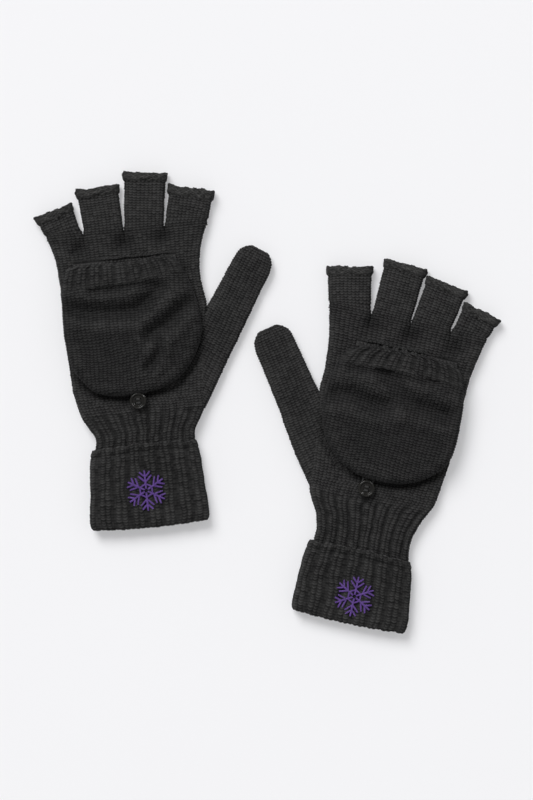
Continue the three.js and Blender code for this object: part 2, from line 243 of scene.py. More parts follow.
def uneven(rows, cols, seed, amount):
    """Hand of the yarn: one random step for each stitch."""
    r = np.random.default_rng(seed)
    per = r.normal(0, amount, (rows // ROWS + 1, cols // COLS + 1))
    return np.repeat(np.repeat(per, ROWS, 0), COLS, 1)[:rows, :cols]


def wander(P, seed, fade, reach=0.6):
    """The drift of wales and rows in hand-laid knit, along x and y, none at the sides."""
    x, y = P[..., 0], P[..., 1]
    keep = np.abs(face_weight(P)) * fade
    across = waves(x, y, 38, seed) + 0.5 * waves(x, y, 11, seed + 50)
    along = 1.2 * waves(x, y, 46, seed + 100) + 0.3 * waves(x, y, 8, seed + 150)
    return P + reach * np.stack([across * keep, along * keep, np.zeros_like(x)], -1)


def blurred(P, reach, axis, wrap):
    """Running mean over 2 reach + 1 grid steps."""
    reach = min(reach, (P.shape[axis] - 1) // 2)
    pad = [(0, 0)] * P.ndim
    pad[axis] = (reach + 1, reach)
    total = np.cumsum(np.pad(P, pad, mode="wrap" if wrap else "edge"), axis=axis)
    top = np.take(total, range(2 * reach + 1, total.shape[axis]), axis)
    low = np.take(total, range(total.shape[axis] - 2 * reach - 1), axis)
    return (top - low) / (2 * reach + 1)


def open_share(proud):
    """Openness of a point that stands `proud` mm over the knit about it."""
    return 0.5 + 0.5 * np.tanh(proud / 1.1)


def openness(P, closed):
    """Light that gets to each point of a grid: 0 in a hollow, 1 on a crest, 0.5 on the flat."""
    level = P
    for _ in range(2):
        level = blurred(blurred(level, 9, 0, False), 8, 1, closed)
    proud = ((P - level) * normals_of(P, closed)).sum(-1)
    return open_share(proud)


# ---- Flat tubes ----

def half_section(width, top, radius, dips, dip):
    """One face of a flat bag from edge to edge: (distance across, height), rounded at both
    edges, and drawn down to nothing at the `dips`, which are shares of the width."""
    s = 0.5 * width * (1 - np.cos(np.linspace(0, np.pi, 420)))
    h = rounded(np.minimum(s, width - s), radius)
    for where in dips:
        near = np.abs(s - where * width) + 1.2 * (1 - dip)
        h = np.minimum(h, 1 - dip * (1 - rounded(near, radius + 5 * (1 - dip))))
    return np.stack([s, top * h], 1)


def half_loop(width, top, radius, counts, shares, dips, dip, weights):
    """The section cut at `shares` of its width, each stretch with its own number of columns."""
    line = half_section(width, top, radius, dips, dip)
    if weights is not None:
        return spread(line, sum(counts), weights=weights)
    cuts = [0, *[s * width for s in shares], width]
    out = []
    for a, b, n in zip(cuts[:-1], cuts[1:], counts):
        inside = line[(line[:, 0] > a + 1e-6) & (line[:, 0] < b - 1e-6)]
        ends = [np.array([[e, np.interp(e, line[:, 0], line[:, 1])]]) for e in (a, b)]
        out.append(spread(np.concatenate([ends[0], inside, ends[1]]), n))
    return np.concatenate(out)


def loop(a, b, mid, up, down, radius, counts, shares=(), dips=(), dip=0.0, weights=None):
    """A closed section between plan points a and b: over the top from a to b, back below."""
    a, b = np.array(a, float), np.array(b, float)
    width = np.linalg.norm(b - a)
    along = (b - a) / width
    top = half_loop(width, up, radius, counts, shares, dips, dip, weights)
    low = half_loop(width, down, radius, counts[::-1], [1 - s for s in shares[::-1]],
                    [1 - s for s in dips], dip, weights)
    over = np.column_stack([a + top[:, :1] * along, mid + top[:, 1]])
    under = np.column_stack([b - low[:, :1] * along, mid - low[:, 1]])
    return np.concatenate([over, under])


# ---- Meshes ----

def grid_faces(rows, cols, closed, flip):
    i, j = np.meshgrid(np.arange(rows - 1), np.arange(cols if closed else cols - 1), indexing="ij")
    i, j = i.ravel(), j.ravel()
    corners = ((0, 0), (0, 1), (1, 1), (1, 0))
    quads = np.stack([(i + di) * cols + (j + dj) % cols for di, dj in corners], 1)
    uv = np.stack([np.stack([j + dj, i + di], 1) for di, dj in corners], 1).astype(float)
    if flip:
        quads, uv = quads[:, ::-1], uv[:, ::-1]
    return quads, uv / np.array([COLS, ROWS])


def new_mesh(name, verts, faces, uv, light):
    """A smooth mesh from world points in metres; faces are quads or triangles, all alike."""
    mesh = bpy.data.meshes.new(name)
    count, sides = faces.shape
    mesh.vertices.add(len(verts))
    mesh.vertices.foreach_set("co", verts.astype(np.float32).ravel())
    mesh.loops.add(count * sides)
    mesh.loops.foreach_set("vertex_index", faces.astype(np.int32).ravel())
    mesh.polygons.add(count)
    mesh.polygons.foreach_set("loop_start", np.arange(0, count * sides, sides, dtype=np.int32))
    mesh.polygons.foreach_set("use_smooth", np.ones(count, bool))
    layer = mesh.uv_layers.new(name="stitches")
    layer.data.foreach_set("uv", uv.astype(np.float32).ravel())
    if light is not None:
        layer = mesh.attributes.new("openness", "FLOAT", "POINT")
        layer.data.foreach_set("value", light.astype(np.float32).ravel())
    mesh.update(calc_edges=True)
    mesh.validate()
    piece = bpy.data.objects.new(name, mesh)
    bpy.context.scene.collection.objects.link(piece)
    return piece


class Mitten:
    """One mitten's frame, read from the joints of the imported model."""

    def __init__(self, name):
        self.name = name
        self.side = SIDES[name]
        self.mirror = self.side["mirror"]
        self.hand = self.side["hand"]
        self.body = f"{name}_hand"
        cap = JOINTS[f"{name}_cap_flip"]
        ax, ay, _ = cap["axis"]
        turn = math.atan2(-ay, -ax)
        c, s = math.cos(turn), math.sin(turn)
        self.matrix = np.array([[c * self.mirror, -s], [s * self.mirror, c]])
        hinge = np.array([-0.5, 117.6 + self.hand])
        self.origin = np.array(cap["pos_m"][:2]) * 1000 - self.matrix @ hinge

    def world(self, P):
        P = np.asarray(P, float)
        flat = P[..., :2] @ self.matrix.T + self.origin
        return np.concatenate([flat, P[..., 2:]], -1) / 1000

    def point(self, x, y, z):
        return Vector(self.world(np.array([x, y, z])).tolist())

    def piece(self, part, verts, faces, uv, slot, body, nodes, light=None):
        """A finished piece: its mesh and its material, with the imported parts it replaces hidden; on
        a named body it is parented to that body's empty, and with a body given by two points it is
        left in place.
        Knit that reaches the table lies flat on it."""
        z = verts[:, 2]
        verts = np.column_stack([verts[:, :2], np.where(z < 0.4, 0.4 + 0.2 * (z - 0.4), z)])
        piece = new_mesh(f"{self.name}_{part}", self.world(verts), faces, uv, light)
        piece.data.materials.append(MATERIALS[slot])
        if nodes:
            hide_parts(*[f"{self.name}_{n}" for n in nodes])
        if isinstance(body, tuple):
            far, start, end = body
            self.point(*start)
            self.point(*end)
            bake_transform(piece)
        else:
            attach(piece, f"{self.name}_{body}")
        return piece

    def knit(self, part, P, closed, slot, body, nodes=(), tone=0.0, light=None):
        """A grid of points as a knitted piece; its openness is painted light and shade in its colour,
        and `tone` added to it makes the whole piece lighter or darker.
        """
        rows, cols = P.shape[:2]
        quads, uv = grid_faces(rows, cols, closed, self.mirror < 0)
        light = (openness(P, closed) if light is None else light) + tone
        self.piece(part, P.reshape(-1, 3), quads, uv, slot, body, nodes, light)


# ---- Materials ----

class Nodes:
    """A few short words for building a node tree."""

    def __init__(self, name):
        self.material = bpy.data.materials.new(name)
        self.material.use_nodes = True
        self.tree = self.material.node_tree
        self.shader = self.tree.nodes["Principled BSDF"]

    def add(self, kind, feeds=(), **settings):
        """A node with its settings, fed from a dictionary or in the order of its inputs."""
        node = self.tree.nodes.new(kind)
        for key, value in settings.items():
            setattr(node, key, value)
        for key, value in feeds.items() if isinstance(feeds, dict) else enumerate(feeds):
            self.feed(node.inputs[key], value)
        return node

    def feed(self, socket, value):
        if isinstance(value, bpy.types.NodeSocket):
            self.tree.links.new(value, socket)
        else:
            socket.default_value = value

    def math(self, operation, *values):
        return self.add("ShaderNodeMath", values, operation=operation).outputs[0]

    def times(self, a, b):
        return self.math("MULTIPLY", a, b)

    def plus(self, a, b):
        return self.math("ADD", a, b)

    def place(self):
        return self.add("ShaderNodeTexCoord").outputs["Object"]

    def noise(self, vector, scale, detail=2.0, rough=0.5):
        feeds = {"Vector": vector, "Scale": scale, "Detail": detail, "Roughness": rough}
        return self.add("ShaderNodeTexNoise", feeds).outputs["Fac"]

    def remap(self, *values):
        """A value brought from one range, a to b, into another, c to d."""
        return self.add("ShaderNodeMapRange", values).outputs[0]

    def colours(self, factor, dark, light):
        feeds = {0: factor, 6: (*dark, 1), 7: (*light, 1)}
        return self.add("ShaderNodeMix", feeds, data_type="RGBA").outputs[2]

    def bump(self, height, distance, strength, under=None):
        feeds = {"Height": height, "Distance": distance, "Strength": strength}
        if under is not None:
            feeds["Normal"] = under
        return self.add("ShaderNodeBump", feeds).outputs[0]

    def set(self, **values):
        for key, value in values.items():
            self.feed(self.shader.inputs[key.replace("_", " ")], value)
        return self.material


def stitch_height(n, u, v, kind):
    """Height of the yarn over one stitch: two slanting legs, or a purl bump."""
    across = n.math("ABSOLUTE", n.math("SUBTRACT", n.math("FRACT", u), 0.5))
    across = n.times(across, 2.0)
    climb = n.math("SUBTRACT", v, n.times(across, SLANT))
    leg = n.remap(n.math("COSINE", n.times(climb, 2 * math.pi)), -1, 1, 0.2, 1)
    side = n.math("POWER", n.math("COSINE", n.times(across, math.pi / 2)), 0.5)
    if kind == "plain":
        return n.times(n.remap(leg, 0.2, 1, 0.34, 1), n.remap(side, 0, 1, 0.4, 1))
    row = n.math("COSINE", n.times(v, 2 * math.pi))
    if kind == "purl":
        check = n.times(row, n.math("COSINE", n.times(u, 2 * math.pi)))
        rough = n.noise(n.add("ShaderNodeCombineXYZ", (u, v)).outputs[0], 1.7, 1.0)
        return n.plus(n.remap(check, -1, 1, 0.0, 0.4), n.remap(rough, 0.3, 0.7, 0, 0.7))
    purl = n.times(n.remap(row, -1, 1, 0.29, 0.57), n.remap(across, 0, 1, 1, 0.8))
    up = n.math("LESS_THAN", n.math("FRACT", n.math("DIVIDE", u, 4.0)), 0.5)
    raised = n.plus(n.times(n.times(leg, side), 0.75), 0.08)
    return n.plus(n.times(raised, up), n.times(purl, n.math("SUBTRACT", 1.0, up)))


def knit_material(name, dark, light, kind="plain"):
    """Matt wool: yarn over each stitch, fibres, a heather of lighter hairs and a soft sheen; painted
    shade darkens the furrows between the yarns and the hollows, and a painted highlight lightens the
    crests.
    """
    n = Nodes(name)
    uv = n.add("ShaderNodeUVMap", uv_map="stitches").outputs[0]
    u, v, _ = n.add("ShaderNodeSeparateXYZ", (uv,)).outputs
    height = stitch_height(n, u, v, kind)
    strands = n.add("ShaderNodeMapping",
                    {"Vector": uv, "Rotation": (0, 0, 0.6), "Scale": (3.2, 9.0, 1)}).outputs[0]
    fibres = n.noise(strands, 1.6, 3.0, 0.65)
    stitch = n.add("ShaderNodeVectorMath", (uv,), operation="FLOOR").outputs[0]
    chance = n.add("ShaderNodeTexWhiteNoise", {"Vector": stitch}, noise_dimensions="2D")
    light_in = n.add("ShaderNodeAttribute", attribute_name="openness").outputs["Fac"]
    # Painted shade and highlight: darker where the yarn lies low in its stitch, lighter on its crest.
    tone = n.plus(n.remap(height, 0.1, 1, 0.16, 0.66), n.remap(fibres, 0.3, 0.7, -0.16, 0.2))
    tone = n.plus(tone, n.remap(chance.outputs["Value"], 0, 1, -0.17, 0.17))
    tone = n.plus(tone, n.remap(n.noise(n.place(), 38.0, 3.0), 0.3, 0.7, -0.06, 0.06))
    # Painted shade and highlight: the baked openness darkens hollows and creases and lightens crests.
    tone = n.times(tone, n.remap(light_in, 0.1, 0.9, 0.5, 1.2))
    relief = n.bump(fibres, 0.00022, 0.7, n.bump(height, 0.00035, 0.9))
    return n.set(Base_Color=n.colours(tone, dark, light), Normal=relief,
                 Roughness=n.remap(fibres, 0.2, 0.8, 0.95, 0.78),
                 Specular_IOR_Level=n.remap(height, 0.3, 1.0, 0.0, 0.2),
                 Sheen_Weight=0.06, Sheen_Roughness=0.5, Sheen_Tint=(0.5, 0.5, 0.52, 1))


def thread_material(name, dark, light, rough, sheen):
    """Twisted thread or cord: fine slanting plies over a round strand."""
    n = Nodes(name)
    feeds = {"Vector": n.place(), "Scale": 1400.0, "Distortion": 1.5, "Detail": 2.0}
    ply = n.add("ShaderNodeTexWave", feeds, wave_type="BANDS", bands_direction="DIAGONAL")
    ply = ply.outputs["Fac"]
    tone = n.plus(n.times(ply, 0.55), n.times(n.noise(n.place(), 300.0, 3.0), 0.5))
    return n.set(Base_Color=n.colours(tone, dark, light), Roughness=rough,
                 Normal=n.bump(ply, 0.00008, 0.6), Specular_IOR_Level=0.4,
                 Sheen_Weight=sheen, Sheen_Roughness=0.35)


def button_material():
    """Polished near-black plastic with faint scuffs."""
    n = Nodes("button_gloss")
    scuffs = n.noise(n.place(), 900.0, 6.0, 0.7)
    cloud = n.noise(n.place(), 160.0)
    return n.set(Base_Color=n.colours(cloud, (0.005, 0.005, 0.005), (0.017, 0.016, 0.014)),
                 Roughness=n.remap(scuffs, 0.35, 0.75, 0.14, 0.3),
                 Normal=n.bump(scuffs, 0.00002, 0.25), Specular_IOR_Level=0.15,
                 Coat_Weight=0.12, Coat_Roughness=0.1)


MATERIALS = {                   # by slot
    "stockinette": knit_material("stockinette", (0.006, 0.006, 0.0062), (0.042, 0.0415, 0.041)),
    "rib": knit_material("rib", (0.0065, 0.0065, 0.0067), (0.048, 0.0475, 0.047), "rib"),
    "rolled_edge": knit_material("rolled_edge", (0.01, 0.01, 0.0102), (0.075, 0.074, 0.072), "purl"),
    "sewing_thread": thread_material("sewing_thread", (0.006, 0.006, 0.006), (0.03, 0.029, 0.028),
                                     0.7, 0.2),
    "elastic_cord": thread_material("elastic_cord", (0.005, 0.005, 0.006), (0.02, 0.02, 0.021),
                                    0.6, 0.15),
    "embroidery": thread_material("embroidery", (0.018, 0.006, 0.06), (0.15, 0.06, 0.36), 0.45, 0.1),
    "button_gloss": button_material(),
}


# ---- Hand and wrist ----

HAND_EDGES = {                  # height, then the outer edge; and the thumb's side
    "left": (
        [(-16, -34.6), (-6, -33.4), (3, -32.4), (10, -36.3), (17, -40), (29, -43.5), (50, -45.5),
         (70, -46.1), (94, -46.3), (110, -46.1), (120, -46.9), (130, -49), (138.5, -51.8)],
        [(-16, 34), (-6, 33), (1, 33.4), (9, 37.4), (17, 41.8), (25, 43.2), (50, 46), (70, 48.2),
         (85, 50.2), (95, 48.8), (105, 47.8), (117, 48.9), (129, 52), (138.5, 55.9)]),
    "right": (
        [(-16, -33.8), (-6, -32.6), (2, -31.2), (12, -31.8), (23.6, -35.6), (33, -40.6),
         (50, -43.8), (74, -45.4), (108, -45.6), (122, -46.4), (134, -48.2), (142, -49.8),
         (150.5, -51.8)],
        [(-16, 33.4), (-6, 32), (2, 31.6), (10, 33), (16, 35.6), (27, 41.6), (40, 44), (60, 46.4),
         (80, 48.6), (97, 50.3), (108, 49.6), (118, 50.4), (130, 51.6), (142, 54), (150.5, 55.9)]),
}
PER_FACE = sum(PALM) * COLS
HAND_TOP, HAND_LOW, NECK_TOP, NECK_LOW = 9.2, 0.3, 8.9, 2.7
RIB_FADE = 25, 12               # heights between which the plain knit turns into rib
RIB_JOIN = 18                   # where the two pieces of knit meet


def face_weight(P):
    """1 on the face that looks up, -1 on the one that lies down, 0 at the edges."""
    return np.clip(normals_of(P, True)[..., 2] * 1.4, -1, 1)


def facing_up(P):
    """1 on the face that looks up, 0 below and at the edges."""
    return np.clip(face_weight(P), 0, 1)


def hand_rows(mitten):
    """Base surface of the wrist and hand as one closed tube, and the height of each row."""
    top = KNUCKLES + mitten.hand
    count = int(round((top + 14) / ROW)) // ROWS * ROWS
    ys = top - ROW * np.arange(count, -1, -1)
    left, right = HAND_EDGES[mitten.name]
    counts = [w * COLS for w in PALM]
    P = []
    for y in ys:
        a, b = float(curve(y, left)), float(curve(y, right))
        t = y - mitten.hand
        reach = float(ramp(t, 60, KNUCKLES))
        even = [0.25, 0.5, 0.75]
        cut = [(c - a) / (b - a) for c in CROTCHES]
        shares = [e + (c - e) * reach for e, c in zip(even, cut)]
        neck = float(ramp(t, 20, 2))
        tip = float(ramp(t, 124, KNUCKLES))
        high = HAND_TOP + (NECK_TOP - HAND_TOP) * neck - 0.9 * tip
        low = HAND_LOW + (NECK_LOW - HAND_LOW) * neck + 0.2 * tip
        mid = (high + low) / 2
        radius = 3.4 + 0.5 * tip
        dip = float(ramp(t, 122, KNUCKLES)) ** 2
        ribbed = float(ramp(t, *RIB_FADE))
        weights = rib_weights(PER_FACE, ribbed) if ribbed > 0 else None
        P.append(loop((a, y), (b, y), mid, high - mid, mid - low, radius, counts, shares,
                      cut if dip > 0 else (), dip, weights))
    return np.array(P), ys


HOLLOWS = ((-31.5, 127.5), (-1.5, 129.5), (25.0, 130.5))   # (x, height over the wrist)
HOLLOW_WIDE, HOLLOW_TALL, HOLLOW_DEEP = 6.0, 5.5, 3.0


def crease(x, t):
    """Soft hollow below each finger crotch; t is the height over the wrist."""
    drop = np.zeros_like(x)
    for cx, cy in HOLLOWS:
        drop += bell(x, cx, HOLLOW_WIDE) * bell(t, cy, HOLLOW_TALL)
    return HOLLOW_DEEP * drop


def pressed(mitten, x, y, where):
    """The hand's knit gives way beside the lower edge of the closed cap."""
    drop = np.zeros_like(x)
    depth, _ = mitten.cap.depth_in(np.stack([x[where], y[where]], 1))
    drop[where] = bell(depth, -1.6, 3.0)
    # The groove lowers the knit's openness, so the hand beside the cap's edge is also painted darker:
    # painted shade.
    return 2.2 * drop * ramp(y - mitten.hand, 76, 52)


def hand_relief(mitten, P):
    """Creases under the fingers, the cap's print on the back and the soft lie of the knit."""
    x, y = P[..., 0], P[..., 1]
    up = facing_up(P)
    t = y - mitten.hand
    drop = crease(x, t)
    fade = ramp(t, 24, 40) * ramp(t, KNUCKLES, 130)
    drop += 0.8 * lumps(x, y, 30, 11 + mitten.hand) * fade
    drop += pressed(mitten, x, y, (up > 0.5) & (t > 22) & (t < 80))
    return P - np.stack([0 * x, 0 * x, drop * up], -1)


def knuckle_light(P, relief, t, way):
    """Openness near the knuckles, equal where they meet, on the hand (way 1) and a finger (-1)."""
    near = ramp(t, 128, 136) if way > 0 else ramp(t, 150, 142)
    # Painted shade and highlight: darker in the creases below the crotches and between stitches,
    # lighter on the stitches' crests.
    return open_share(relief - 0.9 * crease(P[..., 0], t) * facing_up(P)) * near


def hand_and_wrist(mitten):
    P, ys = hand_rows(mitten)
    t = (ys - mitten.hand)[:, None]
    P = wander(hand_relief(mitten, P), 15, ramp(t, KNUCKLES, 122))
    rows, cols = P.shape[:2]
    ribbed = ramp(t, *RIB_FADE)
    relief = (1 - ribbed) * knit_relief(rows, cols, 3) * STITCH
    relief = relief + ribbed * rib_relief(rows, cols, 4) * 1.25
    light = knuckle_light(P, relief, t, 1)
    P = puffed(P, relief)
    light = light + openness(P, True) * ramp(t, 136, 128)
    join = int(np.searchsorted(ys, RIB_JOIN + mitten.hand)) // ROWS * ROWS
    mitten.knit("hand", P[join:], True, "stockinette", "hand", ["hand_shell"], 0, light[join:])
    mitten.knit("wrist", P[: join + 1], True, "rib", "hand", ["wrist_rib"], 0, light[: join + 1])


# ---- Digits ----

def finger_frame(mitten, name, t):
    """Both ends in plan of a finger's row at a distance t from its root."""
    x, root, tip = FINGERS[name]
    lean = math.radians(mitten.side["lean"][name])
    base = KNUCKLES + mitten.hand
    middle = np.array([x, base]) + t * heading(lean)[0]
    half = root + (tip - root) * min(max(t / mitten.side["length"][name], 0), 1)
    side = half * heading(lean * float(ramp(t, 0, 9)))[1]
    left, right = HAND_EDGES[mitten.name]
    bounds = [left[-1][1], *CROTCHES, right[-1][1]]
    k = list(FINGERS).index(name)
    join = 1 - float(ramp(t, 0, 4.5))
    return [end + (np.array([edge, base + t]) - end) * join
            for end, edge in zip((middle - side, middle + side), bounds[k:k + 2])]


def finger_tube(mitten, name):
    count = int(round((mitten.side["length"][name] - 1.2) / ROW)) + ROWS
    ts = ROW * (np.arange(count) - ROWS)
    P = []
    for t in ts:
        a, b = finger_frame(mitten, name, max(t, 0))
        shift = np.array([0, min(t, 0)])
        sink = 0.3 if t < -ROW / 2 else 0
        P.append(loop(a + shift, b + shift, MID - 0.05, 3.9 - sink, 3.85 - sink, 3.9,
                      [WALES[name] * COLS]))
    P = np.array(P)
    rows, cols = P.shape[:2]
    sag = 0.8 * lumps(P[..., 0], P[..., 1], 19, 31 + len(name))
    drop = crease(P[..., 0], P[..., 1] - mitten.hand)
    P[..., 2] -= (sag * ramp(ts, 0, 5)[:, None] + drop) * facing_up(P)
    P = wander(P, 91 + len(name), ramp(ts, 2, 14)[:, None], 0.45)
    relief = knit_relief(rows, cols, 5) * STITCH
    high = P[..., 1] - mitten.hand
    light = knuckle_light(P, relief, high, -1)
    P = puffed(P, relief)
    light = light + openness(P, True) * ramp(high, 142, 150)
    start, stop = [sum(finger_frame(mitten, name, at)) / 2 for at in (0, 13)]
    # Painted light: each finger's colour is made lighter than the hand's, from none at its root to
    # full 14 mm along it.
    tone = 0.42 * ramp(ts, 0, 14)[:, None]
    mitten.knit(name, P, True, "stockinette", (name, (*start, MID), (*stop, MID)),
                [f"{name}_tube"], tone, light)


HEM_PATH = [                    # along the finger from its end, and out from its surface
    (-6.2, -1.5), (-4.6, -1.5), (-3.0, -1.45), (-1.5, -1.3), (-0.5, -0.9), (0.1, -0.3),
    (0.25, 0.4), (0.0, 0.95), (-0.7, 1.25), (-1.6, 1.3), (-2.6, 1.2), (-3.6, 1.1),
    (-4.5, 0.85), (-5.1, 0.45), (-5.5, 0.0), (-5.7, -0.5),
]


def finger_hem(mitten, name):
    """The rolled end of a finger: a beaded roll round its mouth, a little long at the corners."""
    _, _, tip = FINGERS[name]
    length = mitten.side["length"][name]
    thick = mitten.side["thick_hem"].get(name, 1.0)
    a, b = finger_frame(mitten, name, length)
    side = (b - a) / np.linalg.norm(b - a)
    on = np.array([-side[1], side[0]])
    middle = (a + b) / 2
    line = spread(np.array(HEM_PATH, float), 27, True)
    P = []
    for along, out in line:
        out, along = out * thick, along * thick
        half = tip + out * 0.95 + 0.15
        flat = loop((-half, 0), (half, 0), MID, 3.75 + out * 0.62, 3.75 + out * 0.62,
                    3.6 + out * 0.6, [WALES[name] * COLS])
        x = flat[:, 0]
        ear = mitten.side["ear"] * np.clip(np.abs(x) / tip - 0.72, 0, 1) * 3
        wobble = 0.45 * waves(x, x * 0, 13, 7 * len(name) + mitten.hand)
        y = along + (ear + wobble) * ramp(along, -6, 0)
        plan = middle + x[:, None] * side + y[:, None] * on
        P.append(np.column_stack([plan, flat[:, 2]]))
    P = np.array(P)
    rows, cols = P.shape[:2]
    u, v = stitch_axes(rows, cols)
    relief = 0.2 * np.cos(2 * np.pi * u) * np.cos(2 * np.pi * v) + uneven(rows, cols, 9, 0.26)
    mitten.knit(f"{name}_roll", puffed(P, relief), True, "rolled_edge", name, [f"{name}_hem"], 0.3)


def thumb(mitten):
    """The thumb and the muscle behind it: one straight tube that runs in under the palm's edge."""
    on, side = heading(math.radians(mitten.side["thumb_lean"]))
    pivot = np.array([57, 67.5 + mitten.hand])
    wide, shift = mitten.side["thumb_wide"], mitten.side["thumb_shift"]
    start, end = -52, 60.2          # along the thumb from its pivot
    ts = start + ROW * np.arange(int((end - start) / ROW))
    P = []
    for t in ts:
        half = float(curve(t, [(-52, 16.2), (-24, 15 + 1.6 * wide), (6, 14.3 + 0.5 * wide),
                               (47, 13.0 + 0.6 * wide), (61, 13.0 + 0.6 * wide)]))
        u = max(0.0, (t - 45.5) / (end - 45.5))
        near = max(1 - u ** 2.5, 0) ** (1 / 2.2)
        half *= max(near, 0.05)
        high = 8.6 - 0.4 * float(ramp(t, -10, 25))
        low = 0.35 + 0.3 * float(ramp(t, -10, 25))
        mid = (high + low) / 2
        squeeze = max(near, 0.12) ** 0.55
        middle = pivot + t * on + shift * side
        P.append(loop(middle - half * side, middle + half * side, mid, (high - mid) * squeeze,
                      (mid - low) * squeeze, 3.9 * squeeze, [WALES["thumb"] * COLS]))
    P = np.array(P)
    rows, cols = P.shape[:2]
    inside = curve(P[..., 1], HAND_EDGES[mitten.name][1]) - P[..., 0]
    sag = 0.8 * lumps(P[..., 0], P[..., 1], 24, 41 + mitten.hand)
    P[..., 2] -= sag * facing_up(P) + 1.3 * ramp(inside, 1.5, 7) * face_weight(P)
    P = wander(P, 95, ramp(ts, 56, 44)[:, None], 0.5)
    P = puffed(P, knit_relief(rows, cols, 6) * STITCH)
    near, far = pivot - 16 * on, pivot + 9 * on
    mitten.knit("thumb", P, True, "stockinette", ("thumb", (*near, MID), (*far, MID)),
                ["thumb_tube"])


# ---- Cuff ----

def cuff_path(end):
    """Down the outside of the turned cuff and back up inside: (y, half thickness, narrower)."""
    top, edge = -4.5, 5.55
    return [(top - 4, 3.9, 1.6), (top - 1.5, 4.1, 1.4), (top - 0.2, 4.6, 1.6), (top + 0.1, 5.1, 1.4),
            (top - 0.4, 5.6, 1.1), (top - 1.4, 5.75, 0.7), (top - 3, edge, 0.3),
            (top - 12, edge, 0), (end + 14, edge, 0), (end + 5, edge - 0.05, 0),
            (end + 2, edge - 0.35, 0.25), (end + 0.4, edge - 1.1, 0.9), (end - 0.2, edge - 1.9, 1.6),
            (end + 0.3, edge - 2.7, 2.3), (end + 2.2, edge - 3.2, 2.8), (end + 8, edge - 3.3, 3),
            (end + 20, edge - 3.3, 3.2)]


CUFF_EDGES = {
    "left": ([(-60, -41.2), (-52, -41.6), (-36, -39.9), (-18, -38.3), (-4, -36.6)],
             [(-60, 37.4), (-52, 37.6), (-36, 36.6), (-18, 35.8), (-4, 34.8)]),
    "right": ([(-54, -40.6), (-46, -40.9), (-30, -38.9), (-15, -36.8), (-4, -34.8)],
              [(-54, 36.8), (-46, 37.2), (-30, 36.9), (-15, 36.6), (-4, 35.6)]),
}


def cuff(mitten):
    end = mitten.side["cuff_end"]
    path = np.array(cuff_path(end))
    length = lengths(path[:, :2]).sum()
    line = spread(path, int(length / ROW) // ROWS * ROWS, True)
    left, right = CUFF_EDGES[mitten.name]
    across = CUFF_WALES * COLS
    P = []
    for y, half, narrow in line:
        at = min(max(y, end), -4.0)
        a, b = float(curve(at, left)) + narrow, float(curve(at, right)) - narrow
        P.append(loop((a, y), (b, y), 5.85, half, half - 0.35, min(half, 3.6), [across],
                      weights=rib_weights(across, 0.7)))
    P = np.array(P)
    rows, cols = P.shape[:2]
    x = P[..., 0]
    P[..., 1] -= 1.9 * (1 - (x / 40) ** 2) * ramp(P[..., 1], end + 22, end)
    P[..., 1] += 0.7 * np.cos(x / 37 * np.pi) * ramp(P[..., 1], -20, -5) - 0.2
    sway = waves(x, P[..., 1], 34, 57 + mitten.hand) + 0.4 * waves(x, P[..., 1], 10, 58)
    P[..., 0] += 0.9 * sway * np.abs(face_weight(P))
    P[..., 1] += 0.45 * waves(x, P[..., 1], 13, 59) * ramp(P[..., 1], end, end + 6)
    P[..., 2] -= 0.35 * lumps(P[..., 0], P[..., 1], 30, 51 + mitten.hand) * facing_up(P)
    along = np.arange(rows) * length / rows
    inner = ramp(along, 0.76 * length, 0.82 * length)[:, None]
    relief = rib_relief(rows, cols, 8) * (1 - 0.6 * inner)
    edge = bell(along, 6.6, 1.7)[:, None]
    groove = bell(along, 10.2, 1.1)[:, None]
    chain = 0.5 - 0.5 * np.cos(np.arange(cols) * 2 * np.pi / COLS)[None, :]
    flat = np.abs(face_weight(P))
    relief = relief * (1 - 0.8 * edge) + (edge * (chain * 0.9 + 0.2) - groove * 0.7) * flat
    mitten.knit("cuff", puffed(P, -relief)[::-1], True, "rib", "hand", ["cuff_turn"], 0.08)


# ---- Cap ----

CAP_OUTLINE = {                 # in plan, from the thumb's side of the mouth round the tip
    "left": [(30.5, 118.2), (35.6, 113.5), (38.6, 105), (41.6, 95), (43.8, 86.7), (45.1, 76),
             (45, 67), (41.8, 57), (35.9, 46.9), (26.7, 37.4), (18, 33), (6, 30), (-2.5, 29.3),
             (-12, 29.2), (-22.5, 30.6), (-30.2, 33.8), (-36.6, 41), (-42.6, 50), (-45.7, 66),
             (-46, 80), (-45.4, 95), (-43.8, 107), (-41.2, 115.4), (-37, 117), (-20, 117), (10, 117.4),
             (24, 118.3)],
    "right": [(31, 129), (37.5, 124.5), (42, 116), (44.8, 105), (46, 95.5), (45.8, 86),
              (44.2, 76.5), (39.1, 64.3), (28.5, 52.2), (14.3, 45.2), (2, 43.3), (-12, 43.9),
              (-25.4, 48), (-37, 56), (-43.5, 64.5), (-46, 74), (-46.3, 90), (-45.2, 106),
              (-43.2, 116), (-40.6, 123.5), (-36, 128.6), (-28, 130), (-10, 130.6), (10, 130.6),
              (24, 130)],
}
CAP_LOW, CAP_RIM, CAP_TOP = 9.95, 13.0, 17.5
CAP_WALE = 2.7
FOLDS = {                       # valleys in the top of the cap: points, half width, depth
    "left": [([(-46, 91), (-39, 89.5), (-27.6, 86.3), (-11.6, 84.3), (2, 85.4), (10.5, 90),
               (18, 98)], 5.4, 4.4),
             ([(-25, 100.5), (-12, 100), (0, 101), (12, 101.5)], 2.8, 1.7),
             ([(44, 88), (34, 83.4), (22.3, 73.8), (12, 68)], 5.0, 4.8),
             ([(17, 62), (14.9, 54.4), (7.4, 45.7)], 3.2, 3.0)],
    "right": [([(46, 93), (35, 94.5), (28.7, 95.2), (14.4, 92.9), (5, 93)], 6.0, 4.5),
              ([(9, 114), (2.9, 109), (-4, 102.4), (-12, 98), (-23, 97), (-36, 95.5)], 5.6, 4.4),
              ([(33, 112.5), (24, 113.5), (15, 114.2)], 2.6, 1.4),
              ([(0, 114.2), (-12, 114.4), (-24, 115)], 2.6, 1.5)],
}


